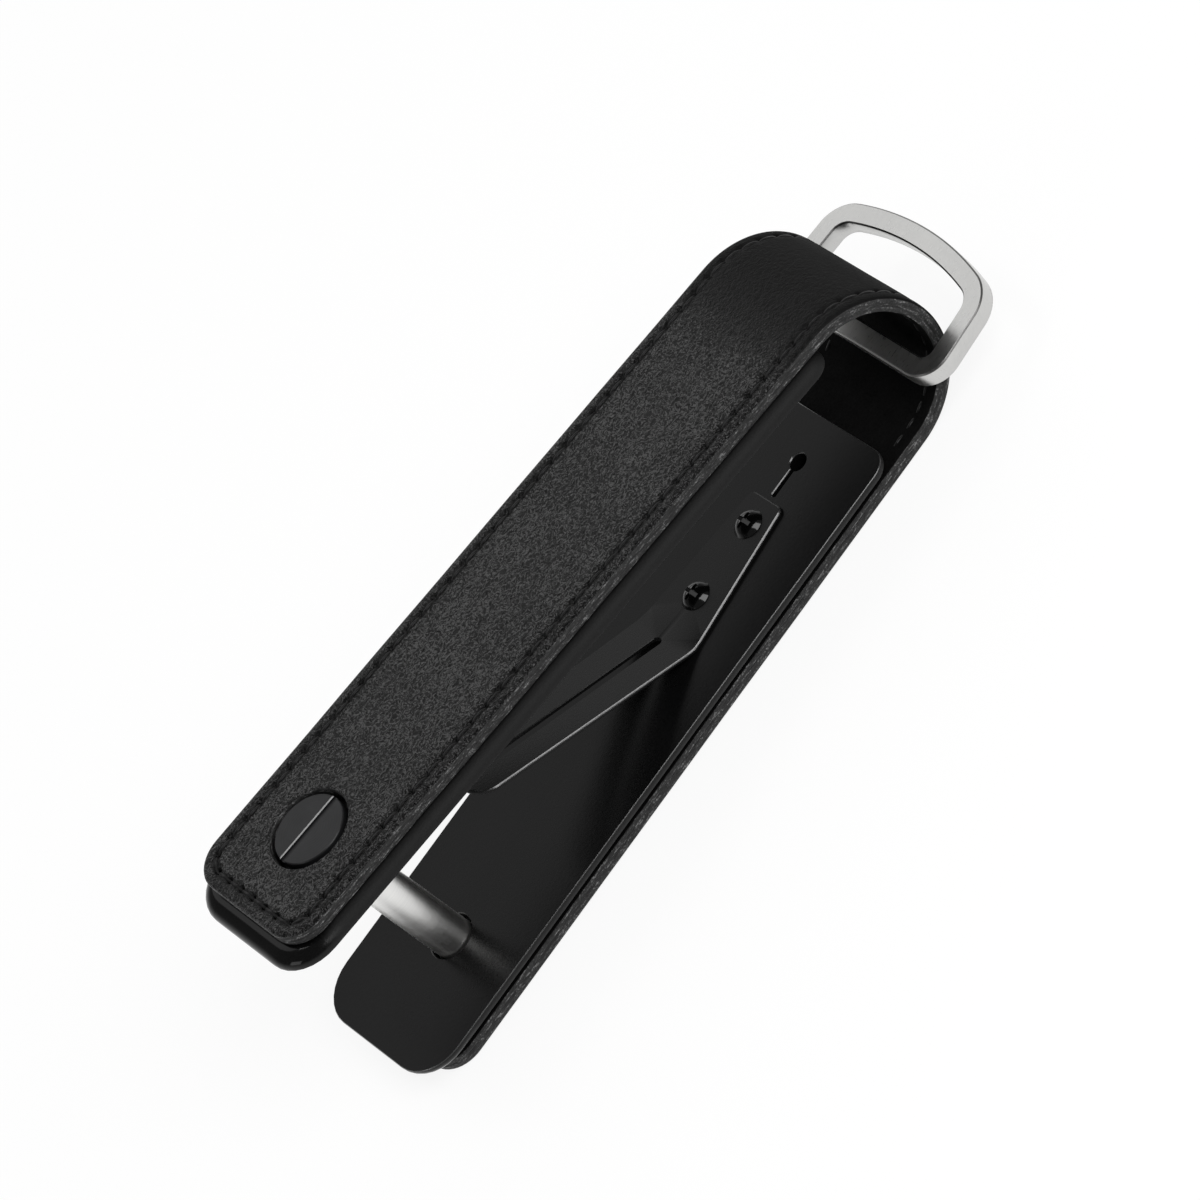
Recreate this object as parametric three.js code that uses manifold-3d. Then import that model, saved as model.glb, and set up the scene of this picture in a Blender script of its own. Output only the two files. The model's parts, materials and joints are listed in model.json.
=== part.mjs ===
// Key organizer: a leather strap folded into a U, two stiffening plates, a barrel post with its
// clamp screw, a leaf spring that keeps the keys quiet, and a flat ring carried in the fold.
//
// Millimetres, +Z up, +X from the post end towards the ring. The lower arm lies flat; the upper
// arm is turned about the fold axis, which runs along Y. Inside both arms a height is a distance
// from that axis: negative in the lower arm, positive in the upper arm.

import * as THREE from 'three';
import { mergeVertices } from 'three/addons/utils/BufferGeometryUtils.js';
import Module from 'manifold-3d';

const wasm = await Module();
wasm.setup();

// Fold and arms
const REST_SPREAD = THREE.MathUtils.degToRad(5.5); // angle between the arms: the post props them apart
const PLATE_FACE = 7.3; // fold axis to the inner face of each plate
const POST_FROM_FOLD = 74.5; // fold axis to the post axis, along the lower arm

// Clearances
const GLUE_LINE = 0.25; // between bonded layers
const SEAT = 0.3; // between a piece and the face it bears on
const SPLIT = 0.3; // where the strap's arms meet its fold

// Plates: crisp edge on the inner face, rounded shoulder towards the leather
const PLATE_LENGTH = 85.3; // lower plate
const PLATE_WIDTH = 23.4;
const PLATE_THICKNESS = 1.8;
const PLATE_SHOULDER = 2.2; // inwards from the outline
const PLATE_SHOULDER_DROP = 1.5; // through the thickness
const PLATE_POST_CORNER = 5.6;
const PLATE_RING_CORNER = 2.6;
const LOWER_PLATE_TO_FOLD = 4; // ring end of the lower plate to the fold axis
const UPPER_PLATE_TO_FOLD = 0.5; // the upper plate reaches further round

// Leather strap: outer hide and lining
const OUTER_THICKNESS = 1.05;
const LINING_THICKNESS = 0.6;
const SIDE_REVEAL = 0.8; // plate showing beside the leather
const END_REVEAL = 2.3; // plate showing beyond the leather's end
const STRAP_CORNER = 4.4;
const FOLD_SEGMENTS = 40;

// Barrel post and clamp screw
const POST_DIAMETER = 5;
const POST_HOLE_CLEARANCE = 0.3;
const POST_EDGE = 0.35; // chamfer on the post's upper rim
const BORE_DIAMETER = 3.9;
const BORE_DEPTH = 9;
const HEAD_DIAMETER = 9;
const HEAD_CLEARANCE = 0.55; // ring of shadow between head and leather
const HEAD_EDGE = 0.25;
const FLANGE_RECESS = 0.3; // lower head sunk below the leather it stands in
const SLOT_WIDTH = 0.9;
const SLOT_DEPTH = 0.5;
const SHANK_DIAMETER = 3;
const SHANK_CLEARANCE = 0.3;
const SHANK_REACH = 3.2; // below the upper plate's inner face

// Leaf spring: tapered base, raised tongue with a long slot
const LEAF_THICKNESS = 0.5;
const LEAF_BEND = 41.1; // post axis to the bend
const LEAF_BASE_LENGTH = 18.4;
const LEAF_ROOT_WIDTH = 6;
const LEAF_BEND_WIDTH = 10.4;
const LEAF_TIP_WIDTH = 9;
const LEAF_ROOT_CORNER = 1;
const TONGUE_LENGTH = 30;
const TONGUE_RISE = THREE.MathUtils.degToRad(23.6);
const TONGUE_TIP_CORNER = 3.2;
const TONGUE_SLOT_WIDTH = 1.3;
const TONGUE_SLOT_START = 1.4; // from the bend
const TONGUE_SLOT_STOP = 4; // from the tip

// Leaf screws, from the leaf's root edge
const LEAF_SCREW_OFFSETS = { ring_side: 3.5, post_side: 13.3 };
const LEAF_HEAD_DIAMETER = 3.8;
const LEAF_HEAD_HEIGHT = 1.1;
const LEAF_SHANK_DIAMETER = 1.8;
const LEAF_HOLE_CLEARANCE = 0.2;
const CROSS_LENGTH = 2.1;
const CROSS_WIDTH = 0.5;
const CROSS_DEPTH = 0.6;

// Keyhole in the lower plate beyond the leaf's root
const KEYHOLE_DIAMETER = 2.2;
const KEYHOLE_FROM_ROOT = 5.3;
const KEYHOLE_SLIT_WIDTH = 0.6;
const KEYHOLE_SLIT_START = 0.6; // from the leaf's root edge

// Ring: flat stock, straight bar in the fold, sides drawn in, far side bowed
const RING_STOCK = 2.5; // face width
const RING_THICKNESS = 2.5;
const RING_EDGE = 0.15;
const RING_STRAP_CLEARANCE = 0.9; // bar's free length beyond each strap edge
const RING_DEPTH = 15; // bar's back to the crown of the bow
const RING_BOW_RADIUS = 37.7;
const RING_DRAW_IN = THREE.MathUtils.degToRad(4); // lean of each side towards the middle
const RING_NEAR_CORNER = 3.75;
const RING_FAR_CORNER = 4.7;

// The ring as it lies: loose in the fold, its bar low and a little out of level
const RING_LOW = 3.3; // bar's middle below the fold axis
const RING_ROLL = THREE.MathUtils.degToRad(5); // about the strap's length
const RING_SEAT = 0.7; // bar's low end to the lining

// Levels, as distances from the fold axis
const PLATE_BACK = PLATE_FACE + PLATE_THICKNESS;
const LINING_FACE = PLATE_BACK + GLUE_LINE;
const LINING_BACK = LINING_FACE + LINING_THICKNESS;
const OUTER_FACE = LINING_BACK + GLUE_LINE;
const OUTER_BACK = OUTER_FACE + OUTER_THICKNESS;

// Stations along the arms, with the fold axis at x = 0
const PLATE_POST_END = -LOWER_PLATE_TO_FOLD - PLATE_LENGTH;
const STRAP_POST_END = PLATE_POST_END + END_REVEAL;
const STRAP_WIDTH = PLATE_WIDTH - 2 * SIDE_REVEAL;
const POST_X = -POST_FROM_FOLD;
const SCREW_X = -(POST_FROM_FOLD + PLATE_FACE * Math.sin(REST_SPREAD)) / Math.cos(REST_SPREAD);
const BEND_X = POST_X + LEAF_BEND;
const ROOT_X = BEND_X + LEAF_BASE_LENGTH;
const KEYHOLE_X = ROOT_X + KEYHOLE_FROM_ROOT;
const LEAF_TOP = -PLATE_FACE + LEAF_THICKNESS;
// The raised tongue starts where its upper edge clears the base by the split.
const TONGUE_START = (SPLIT + LEAF_THICKNESS * Math.sin(TONGUE_RISE)) / Math.cos(TONGUE_RISE);

// The upper plate's inner face rises towards the post end; this is its height above the fold axis.
const upperFaceHeight = (x) => PLATE_FACE / Math.cos(REST_SPREAD) - x * Math.tan(REST_SPREAD);
const POST_TOP = upperFaceHeight(POST_X + POST_DIAMETER / 2) - SEAT;

const MATERIALS = {
  outer: { color: 0x151515, roughness: 0.62, metalness: 0 },
  lining: { color: 0x1c1b1a, roughness: 0.8, metalness: 0 },
  plate: { color: 0x17181a, roughness: 0.36, metalness: 0.5 },
  leaf: { color: 0x1d1e20, roughness: 0.4, metalness: 0.6 },
  blackScrew: { color: 0x121214, roughness: 0.22, metalness: 0.5 },
  clampHead: { color: 0x2a2b2d, roughness: 0.38, metalness: 0.6 },
  steel: { color: 0xb9b8b4, roughness: 0.3, metalness: 1 },
};

// Booleans

function solid(geometry) {
  const bare = geometry.clone();
  bare.deleteAttribute('normal');
  bare.deleteAttribute('uv');
  const merged = mergeVertices(bare, 1e-4);
  return new wasm.Manifold(new wasm.Mesh({
    numProp: 3,
    vertProperties: new Float32Array(merged.attributes.position.array),
    triVerts: new Uint32Array(merged.index.array),
  }));
}

function geometryOf(body) {
  const mesh = body.getMesh();
  const geometry = new THREE.BufferGeometry();
  geometry.setAttribute('position', new THREE.BufferAttribute(mesh.vertProperties, 3));
  geometry.setIndex(new THREE.BufferAttribute(mesh.triVerts, 1));
  geometry.computeVertexNormals();
  return geometry;
}

function cut(geometry, tools) {
  return geometryOf(tools.reduce((body, tool) => body.subtract(solid(tool)), solid(geometry)));
}

// Outlines and prisms

function corner(path, from, at, to, radius, first = false) {
  const inward = at.clone().sub(from).normalize();
  const onward = to.clone().sub(at).normalize();
  const trim = radius * Math.tan(Math.abs(inward.angleTo(onward)) / 2);
  const start = at.clone().addScaledVector(inward, -trim);
  const end = at.clone().addScaledVector(onward, trim);
  if (first) {
    path.moveTo(start.x, start.y);
  } else {
    path.lineTo(start.x, start.y);
  }
  if (radius > 0) {
    const left = inward.cross(onward) > 0 ? 1 : -1;
    const centre = start.clone().add(new THREE.Vector2(-inward.y, inward.x).multiplyScalar(left * radius));
    const angle = (point) => Math.atan2(point.y - centre.y, point.x - centre.x);
    path.absarc(centre.x, centre.y, radius, angle(start), angle(end), left < 0);
  }
}

// A closed outline through the given corners, each with its own radius.
function roundedOutline(corners) {
  const outline = new THREE.Shape();
  const points = corners.map(([x, y]) => new THREE.Vector2(x, y));
  points.forEach((point, i) => {
    const before = points.at(i - 1);
    const after = points[(i + 1) % points.length];
    corner(outline, before, point, after, corners[i][2], i === 0);
  });
  outline.closePath();
  return outline;
}

// A strip along X, symmetrical about it, with a width and a corner radius at each end.
function strip(x0, width0, radius0, x1, width1, radius1) {
  return roundedOutline([
    [x0, -width0 / 2, radius0],
    [x1, -width1 / 2, radius1],
    [x1, width1 / 2, radius1],
    [x0, width0 / 2, radius0],
  ]);
}

function prism(outline, zA, zB, segments = 10) {
  const depth = Math.abs(zB - zA);
  const geometry = new THREE.ExtrudeGeometry(outline, { depth, bevelEnabled: false, curveSegments: segments });
  return geometry.translate(0, 0, Math.min(zA, zB));
}

function rod(radius, zA, zB, x, y = 0, segments = 32) {
  const geometry = new THREE.CylinderGeometry(radius, radius, Math.abs(zB - zA), segments);
  return geometry.rotateX(Math.PI / 2).translate(x, y, (zA + zB) / 2);
}

function block(x0, x1, y0, y1, z0, z1) {
  const geometry = new THREE.BoxGeometry(x1 - x0, y1 - y0, z1 - z0);
  return geometry.translate((x0 + x1) / 2, (y0 + y1) / 2, (z0 + z1) / 2);
}

function turned(profile, x, segments = 40) {
  const points = profile.map(([r, z]) => new THREE.Vector2(r, z));
  return new THREE.LatheGeometry(points, segments).rotateX(Math.PI / 2).translate(x, 0, 0);
}

// Strap

function strapArm(side, face, back, holeX) {
  const outline = strip(STRAP_POST_END, STRAP_WIDTH, STRAP_CORNER, 0, STRAP_WIDTH, 0);
  const hole = rod(HEAD_DIAMETER / 2 + HEAD_CLEARANCE, side * (face - 1), side * (back + 1), holeX, 0, 48);
  return cut(prism(outline, side * face, side * back), [hole]);
}

function strapFold(face, back) {
  const start = -Math.PI / 2 + SPLIT / LINING_FACE;
  const end = Math.PI / 2 - REST_SPREAD - SPLIT / LINING_FACE;
  const outline = new THREE.Shape();
  outline.absarc(0, 0, back, start, end, false);
  outline.absarc(0, 0, face, end, start, true);
  outline.closePath();
  const geometry = prism(outline, -STRAP_WIDTH / 2, STRAP_WIDTH / 2, FOLD_SEGMENTS);
  return geometry.rotateX(Math.PI / 2);
}

// Plates

function plateBlank(side, toFold) {
  const outline = strip(
    PLATE_POST_END,
    PLATE_WIDTH,
    PLATE_POST_CORNER,
    -toFold,
    PLATE_WIDTH,
    PLATE_RING_CORNER,
  );
  const flat = PLATE_THICKNESS - PLATE_SHOULDER_DROP;
  const twin = new THREE.ExtrudeGeometry(outline, {
    depth: 2 * flat,
    bevelThickness: PLATE_SHOULDER_DROP,
    bevelSize: PLATE_SHOULDER,
    bevelOffset: -PLATE_SHOULDER,
    bevelSegments: 5,
    curveSegments: 8,
  });
  twin.translate(0, 0, side * PLATE_FACE - flat);
  const margin = 1;
  const spare = block(
    PLATE_POST_END - margin,
    margin,
    -PLATE_WIDTH,
    PLATE_WIDTH,
    side > 0 ? 0 : -PLATE_FACE,
    side > 0 ? PLATE_FACE : 0,
  );
  return cut(twin, [spare]);
}

function keyholeSlit(zA, zB) {
  const half = KEYHOLE_SLIT_WIDTH / 2;
  return block(ROOT_X + KEYHOLE_SLIT_START, KEYHOLE_X, -half, half, zA, zB);
}

const leafScrewX = (name) => ROOT_X - LEAF_SCREW_OFFSETS[name];

function lowerPlate() {
  const zA = -PLATE_BACK - 1;
  const zB = -PLATE_FACE + 1;
  const leafHole = LEAF_SHANK_DIAMETER / 2 + LEAF_HOLE_CLEARANCE;
  return cut(plateBlank(-1, LOWER_PLATE_TO_FOLD), [
    rod(POST_DIAMETER / 2 + POST_HOLE_CLEARANCE, zA, zB, POST_X, 0, 40),
    rod(KEYHOLE_DIAMETER / 2, zA, zB, KEYHOLE_X, 0, 28),
    keyholeSlit(zA, zB),
    ...Object.keys(LEAF_SCREW_OFFSETS).map((name) => rod(leafHole, zA, zB, leafScrewX(name), 0, 20)),
  ]);
}

function upperPlate() {
  const radius = SHANK_DIAMETER / 2 + SHANK_CLEARANCE;
  return cut(plateBlank(1, UPPER_PLATE_TO_FOLD), [rod(radius, PLATE_FACE - 1, PLATE_BACK + 1, SCREW_X)]);
}

// Post and clamp screw

function barrelPost() {
  const radius = POST_DIAMETER / 2;
  const bore = BORE_DIAMETER / 2;
  const flangeTop = -PLATE_BACK - SEAT;
  const flangeFoot = -OUTER_BACK + FLANGE_RECESS;
  const flange = HEAD_DIAMETER / 2;
  return turned([
    [0, flangeFoot],
    [flange - HEAD_EDGE, flangeFoot],
    [flange, flangeFoot + HEAD_EDGE],
    [flange, flangeTop],
    [radius, flangeTop],
    [radius, POST_TOP - POST_EDGE],
    [radius - POST_EDGE, POST_TOP],
    [bore, POST_TOP],
    [bore, POST_TOP - BORE_DEPTH],
    [0, POST_TOP - BORE_DEPTH - bore * 0.6],
  ], POST_X);
}

function clampScrew() {
  const head = HEAD_DIAMETER / 2;
  const shank = SHANK_DIAMETER / 2;
  const under = PLATE_BACK + SEAT;
  const tip = PLATE_FACE - SHANK_REACH;
  const blank = turned([
    [0, tip],
    [shank - 0.4, tip],
    [shank, tip + 0.4],
    [shank, under],
    [head, under],
    [head, OUTER_BACK - HEAD_EDGE],
    [head - HEAD_EDGE, OUTER_BACK],
    [0, OUTER_BACK],
  ], SCREW_X, 48);
  const reach = HEAD_DIAMETER;
  const half = SLOT_WIDTH / 2;
  const slot = block(SCREW_X - reach, SCREW_X + reach, -half, half, OUTER_BACK - SLOT_DEPTH, OUTER_BACK + 1);
  return cut(blank, [slot]);
}

// Leaf spring

function leafBase() {
  const outline = strip(BEND_X, LEAF_BEND_WIDTH, 0, ROOT_X, LEAF_ROOT_WIDTH, LEAF_ROOT_CORNER);
  const radius = LEAF_SHANK_DIAMETER / 2 + LEAF_HOLE_CLEARANCE;
  const holes = Object.keys(LEAF_SCREW_OFFSETS).map(
    (name) => rod(radius, -PLATE_FACE - 1, LEAF_TOP + 1, leafScrewX(name), 0, 20),
  );
  return cut(prism(outline, -PLATE_FACE, LEAF_TOP), holes);
}

// The tongue is drawn flat from the bend towards -X and raised by its group.
function leafTongue() {
  const outline = strip(
    -TONGUE_LENGTH,
    LEAF_TIP_WIDTH,
    TONGUE_TIP_CORNER,
    -TONGUE_START,
    LEAF_BEND_WIDTH,
    0,
  );
  const half = TONGUE_SLOT_WIDTH / 2;
  const slot = strip(
    -TONGUE_LENGTH + TONGUE_SLOT_STOP,
    TONGUE_SLOT_WIDTH,
    half * 0.98,
    -TONGUE_SLOT_START,
    TONGUE_SLOT_WIDTH,
    half * 0.98,
  );
  return cut(prism(outline, 0, LEAF_THICKNESS), [prism(slot, -1, LEAF_THICKNESS + 1, 6)]);
}

function leafScrew(x) {
  const head = LEAF_HEAD_DIAMETER / 2;
  const shank = LEAF_SHANK_DIAMETER / 2;
  const sphere = (head * head + LEAF_HEAD_HEIGHT * LEAF_HEAD_HEIGHT) / (2 * LEAF_HEAD_HEIGHT);
  const sweep = Math.asin(head / sphere);
  const dome = Array.from({ length: 7 }, (_, i) => {
    const angle = sweep * (1 - i / 6);
    const radius = i === 6 ? 0 : sphere * Math.sin(angle);
    return [radius, LEAF_TOP + LEAF_HEAD_HEIGHT - sphere * (1 - Math.cos(angle))];
  });
  const blank = turned([[0, -PLATE_BACK], [shank, -PLATE_BACK], [shank, LEAF_TOP], ...dome], x, 28);
  const long = CROSS_LENGTH / 2;
  const thin = CROSS_WIDTH / 2;
  const crown = LEAF_TOP + LEAF_HEAD_HEIGHT;
  return cut(blank, [
    block(x - long, x + long, -thin, thin, crown - CROSS_DEPTH, crown + 1),
    block(x - thin, x + thin, -long, long, crown - CROSS_DEPTH, crown + 1),
  ]);
}

// Ring, drawn with the bar's axis on Y and the bow towards +X. The two sides, their corners and the
// bow share centres between the outer edge and the window, so the stock keeps one width all round.

function ringOutline(inset, Outline) {
  const lean = RING_DRAW_IN;
  const back = -RING_STOCK / 2;
  const inner = new THREE.Vector2(-back, STRAP_WIDTH / 2 + RING_STRAP_CLEARANCE);
  const side = inner.x * Math.sin(lean) + inner.y * Math.cos(lean) + RING_STOCK;
  const bowX = back + RING_DEPTH - RING_BOW_RADIUS;
  const spoke = RING_BOW_RADIUS - RING_FAR_CORNER;
  const facing = Math.PI / 2 - lean;
  const bow = facing - Math.acos((side - RING_FAR_CORNER - bowX * Math.sin(lean)) / spoke);
  const farX = bowX + spoke * Math.cos(bow);
  const farY = spoke * Math.sin(bow);
  const nearX = back + RING_NEAR_CORNER;
  const nearY = (side - RING_NEAR_CORNER - nearX * Math.sin(lean)) / Math.cos(lean);
  const outline = new Outline();
  outline.absarc(bowX, 0, RING_BOW_RADIUS - inset, -bow, bow, false);
  outline.absarc(farX, farY, RING_FAR_CORNER - inset, bow, facing, false);
  outline.absarc(nearX, nearY, RING_NEAR_CORNER - inset, facing, Math.PI, false);
  outline.absarc(nearX, -nearY, RING_NEAR_CORNER - inset, -Math.PI, -facing, false);
  outline.absarc(farX, -farY, RING_FAR_CORNER - inset, -facing, -bow, false);
  outline.closePath();
  return outline;
}

function ring() {
  const outline = ringOutline(0, THREE.Shape);
  outline.holes.push(ringOutline(RING_STOCK, THREE.Path));
  const geometry = new THREE.ExtrudeGeometry(outline, {
    depth: RING_THICKNESS - 2 * RING_EDGE,
    bevelThickness: RING_EDGE,
    bevelSize: RING_EDGE,
    bevelOffset: -RING_EDGE,
    bevelSegments: 1,
    curveSegments: 12,
  });
  return geometry.translate(0, 0, RING_EDGE - RING_THICKNESS / 2);
}

// The bar turns inside the fold, so its corners' reach sets how near the lining its lower end lies.
const RING_REACH = Math.hypot(RING_STOCK / 2, RING_THICKNESS / 2 - RING_EDGE);
const RING_LOW_END = RING_LOW + (STRAP_WIDTH / 2) * Math.tan(RING_ROLL);
const RING_X = Math.sqrt((LINING_FACE - RING_SEAT - RING_REACH) ** 2 - RING_LOW_END ** 2);

// Assembly

const group = new THREE.Group();

function place(parent, name, geometry, finish) {
  const mesh = new THREE.Mesh(geometry, new THREE.MeshStandardMaterial(MATERIALS[finish]));
  mesh.name = name;
  parent.add(mesh);
}

const assembly = new THREE.Group();
assembly.position.z = OUTER_BACK;
group.add(assembly);

place(assembly, 'lower_outer_leather', strapArm(-1, OUTER_FACE, OUTER_BACK, POST_X), 'outer');
place(assembly, 'lower_lining', strapArm(-1, LINING_FACE, LINING_BACK, POST_X), 'lining');
place(assembly, 'fold_outer_leather', strapFold(OUTER_FACE, OUTER_BACK), 'outer');
place(assembly, 'fold_lining', strapFold(LINING_FACE, LINING_BACK), 'lining');
place(assembly, 'lower_plate', lowerPlate(), 'plate');
place(assembly, 'barrel_post', barrelPost(), 'steel');
place(assembly, 'leaf_base', leafBase(), 'leaf');
Object.keys(LEAF_SCREW_OFFSETS).forEach((name) => {
  place(assembly, `leaf_screw_${name}`, leafScrew(leafScrewX(name)), 'blackScrew');
});

const tongue = new THREE.Group();
tongue.position.set(BEND_X, 0, -PLATE_FACE);
tongue.rotation.y = TONGUE_RISE;
place(tongue, 'leaf_tongue', leafTongue(), 'leaf');
assembly.add(tongue);

const upperArm = new THREE.Group();
upperArm.rotation.y = REST_SPREAD;
place(upperArm, 'upper_outer_leather', strapArm(1, OUTER_FACE, OUTER_BACK, SCREW_X), 'outer');
place(upperArm, 'upper_lining', strapArm(1, LINING_FACE, LINING_BACK, SCREW_X), 'lining');
place(upperArm, 'upper_plate', upperPlate(), 'plate');
place(upperArm, 'clamp_screw', clampScrew(), 'clampHead');
assembly.add(upperArm);

const ringSeat = new THREE.Group();
ringSeat.position.set(RING_X, 0, -RING_LOW);
ringSeat.rotation.x = RING_ROLL;
place(ringSeat, 'ring', ring(), 'steel');
assembly.add(ringSeat);

// Origin: middle of the object's footprint, on the surface that it lies on.
const extent = new THREE.Box3().setFromObject(group, true);
assembly.position.x = -(extent.min.x + extent.max.x) / 2;

export default group;
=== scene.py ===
# %% [markdown]
# # A key organizer in leather and steel
# A strap of black leather is folded into a U and stiffened by two coated plates. Keys hang on a steel post
# between the arms, a slotted screw closes the post, a leaf spring keeps the keys quiet, and a flat ring
# rides in the fold. The imported model gives the places and sizes; this script makes the finished surfaces
# round it. The frame is loaded first.

import json
import math

import bpy
import numpy as np
from mathutils import Matrix, Vector, noise
from mathutils.geometry import delaunay_2d_cdt


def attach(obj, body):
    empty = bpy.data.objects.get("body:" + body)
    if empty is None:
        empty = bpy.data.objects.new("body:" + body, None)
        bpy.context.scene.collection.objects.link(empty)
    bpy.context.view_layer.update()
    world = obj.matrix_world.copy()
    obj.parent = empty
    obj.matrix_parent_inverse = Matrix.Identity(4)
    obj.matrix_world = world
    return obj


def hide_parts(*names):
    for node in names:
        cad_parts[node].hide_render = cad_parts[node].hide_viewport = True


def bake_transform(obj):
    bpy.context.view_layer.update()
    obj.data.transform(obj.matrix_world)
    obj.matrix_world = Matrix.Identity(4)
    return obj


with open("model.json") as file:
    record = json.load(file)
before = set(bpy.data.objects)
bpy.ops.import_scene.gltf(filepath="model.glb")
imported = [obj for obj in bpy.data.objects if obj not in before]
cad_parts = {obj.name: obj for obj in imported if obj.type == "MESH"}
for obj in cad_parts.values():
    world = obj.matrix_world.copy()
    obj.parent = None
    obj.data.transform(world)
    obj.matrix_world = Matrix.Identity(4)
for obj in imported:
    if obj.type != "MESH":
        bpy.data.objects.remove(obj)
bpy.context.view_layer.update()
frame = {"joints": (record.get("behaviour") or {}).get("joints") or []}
joints = {joint["name"]: joint for joint in frame["joints"]}
scene = bpy.context.scene

# %% [markdown]
# ## Places and turns
# Sizes are easier to read in millimetres, so the meshes are drawn in millimetres and turned into metres
# when they are placed. Two places cover most pieces: the lower arm lies flat, and the upper arm is the same
# drawing turned about the fold axis. Both measure heights as a distance from that axis.

# %% Fold axis and the two arms
MM = 0.001
FOLD = Vector(joints["strap_open"]["pos_m"]) / MM
SPREAD = math.radians(5.5)
PLATE_FACE = 7.3
LINING_FACE, LINING_BACK = 9.35, 9.95
HIDE_FACE, HIDE_BACK = 10.2, 11.25
POST_X = -74.5
SCREW_X = (POST_X - PLATE_FACE * math.sin(SPREAD)) / math.cos(SPREAD)


def on_lower_arm(x, y, height):
    return Vector((FOLD.x + x, y, FOLD.z - height)) * MM


def on_upper_arm(x, y, height):
    c, s = math.cos(SPREAD), math.sin(SPREAD)
    return Vector((FOLD.x + x * c + height * s, y, FOLD.z + height * c - x * s)) * MM


print("post axis, mm:", on_lower_arm(POST_X, 0, 0) / MM)
print("screw head, mm:", on_upper_arm(SCREW_X, 0, HIDE_BACK) / MM)

# %% [markdown]
# ## Helpers for objects and nodes
# Background, floor, finishes and repeats are all trees of nodes. Writing nodes out one by one is long, so a
# helper adds a node, makes its settings, and links each input to a socket or sets its value.


# %% Objects and nodes
def link_object(name, data):
    """Puts an object with the given data into the scene."""
    made = bpy.data.objects.new(name, data)
    scene.collection.objects.link(made)
    return made


def empty_tree(owner):
    """Switches a world or a material to nodes and clears its tree."""
    owner.use_nodes = True
    owner.node_tree.nodes.clear()
    return owner.node_tree


def feed(tree, socket, value):
    """Links a socket to what feeds it, or sets its value."""
    if isinstance(value, bpy.types.NodeSocket):
        tree.links.new(value, socket)
    else:
        socket.default_value = value


def add_node(tree, kind, inputs=None, **settings):
    """Adds a node, makes its settings and feeds its inputs."""
    node = tree.nodes.new(kind)
    for key, value in settings.items():
        setattr(node, key, value)
    for key, value in (inputs or {}).items():
        feed(tree, node.inputs[key], value)
    return node


def maths(tree, operation, a, b=0.0, **settings):
    return add_node(tree, "ShaderNodeMath", {0: a, 1: b}, operation=operation, **settings).outputs[0]


# %% [markdown]
# ## Camera
# The photograph looks down at the organizer through a long lens, with its length running from the lower
# left to the upper right. Points measured along the edges of the plates and the leaf gave the camera's
# place, turn and focal length, so the axes are written here as they came out.

# %% Camera
FOCAL_PIXELS, PHOTO_PIXELS = 8416.9, 1200
SENSOR = 36
camera_data = bpy.data.cameras.new("camera")
camera_data.sensor_width = SENSOR
camera_data.lens = FOCAL_PIXELS * SENSOR / PHOTO_PIXELS
camera_data.clip_start = 0.01
camera_data.clip_end = 20
camera = link_object("camera", camera_data)
right = Vector((0.5900041, -0.5440222, -0.5966030))
up = Vector((0.8065893, 0.3640325, 0.4657188))
back = Vector((-0.0361785, -0.7559896, 0.6535831))
eye = (FOLD + Vector((-68.518, -696.361, 606.115))) * MM
camera.matrix_world = Matrix.Translation(eye) @ Matrix((right, up, back)).transposed().to_4x4()
scene.camera = camera
print("lens, mm:", round(camera_data.lens, 1))

# %% [markdown]
# ## Light, floor and background
# The product stands in a white studio. A soft box in front is the main lamp, and a wide one beyond the
# object is what its flat faces mirror. A small one high above picks out the leather's grain, and a weak one
# on the left lights the post end. The world is white round the horizon and dimmer overhead, as a studio is.
# The floor is plain white: for the camera it is mostly a white glow, so that only a faint contact shadow
# stays.

# %% World
HORIZON, OVERHEAD = 0.04, 0.34
OVERHEAD_LIGHT = 0.22
SOFT_LIGHT = 0.42
world = bpy.data.worlds.new("studio")
scene.world = world
sky = empty_tree(world)
direction = add_node(sky, "ShaderNodeTexCoord").outputs["Generated"]
height = add_node(sky, "ShaderNodeSeparateXYZ", {0: direction}).outputs["Z"]
fade = {"Value": height, "From Min": HORIZON, "From Max": OVERHEAD, "To Min": 1.0, "To Max": OVERHEAD_LIGHT}
faded = add_node(sky, "ShaderNodeMapRange", fade).outputs["Result"]
rays = add_node(sky, "ShaderNodeLightPath").outputs
seen = maths(sky, "ADD", rays["Is Camera Ray"], rays["Is Glossy Ray"], use_clamp=True)
seen = maths(sky, "ADD", seen, rays["Is Transmission Ray"], use_clamp=True)
level = add_node(sky, "ShaderNodeMix", {"Factor": seen, "A": SOFT_LIGHT, "B": faded}).outputs["Result"]
glow = add_node(sky, "ShaderNodeBackground", {"Strength": level}).outputs[0]
add_node(sky, "ShaderNodeOutputWorld", {0: glow})
print("background:", world.name)

# %% Floor
FLOOR_REACH, FLOOR_LEVEL = 3, -0.00015
GLOW_SHARE = 0.85
corners = [(x * FLOOR_REACH, y * FLOOR_REACH, FLOOR_LEVEL) for x, y in ((-1, -1), (1, -1), (1, 1), (-1, 1))]
floor_mesh = bpy.data.meshes.new("floor")
floor_mesh.from_pydata(corners, [], [(0, 1, 2, 3)])
floor = link_object("floor", floor_mesh)
white = bpy.data.materials.new("white floor")
tree = empty_tree(white)
paint = add_node(tree, "ShaderNodeBsdfDiffuse", {"Color": (0.9, 0.9, 0.9, 1)}).outputs[0]
shine = add_node(tree, "ShaderNodeEmission", {"Strength": 1.03}).outputs[0]
rays = add_node(tree, "ShaderNodeLightPath").outputs
seen = maths(tree, "MAXIMUM", rays["Is Camera Ray"], rays["Is Glossy Ray"])
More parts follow.
